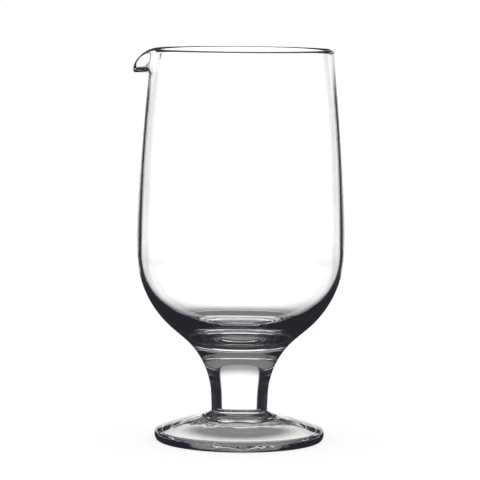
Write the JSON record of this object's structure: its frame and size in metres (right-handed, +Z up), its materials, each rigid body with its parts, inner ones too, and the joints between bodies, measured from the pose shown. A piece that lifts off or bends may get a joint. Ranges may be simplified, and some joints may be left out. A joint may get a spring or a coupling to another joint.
{
  "type": "stemmed mixing glass",
  "caption": "Clear glass bar mixing glass: tall rounded bowl with a pulled pouring lip at the rim, on a short flared stem, a collar and a round foot.",
  "frame": {"origin": "centre of the foot's underside, on the turning axis, at the height of the table", "axes": "+Z up along the turning axis, -X towards the pouring lip, +Y away from the camera of the picture"},
  "size_m": [0.0966, 0.0948, 0.1781],
  "materials": {
    "clear_glass": "clear, fire polished"
  },
  "bodies": {
    "root": {"bowl": "clear_glass", "stem": "clear_glass", "collar": "clear_glass", "foot": "clear_glass"}
  },
  "joints": []
}
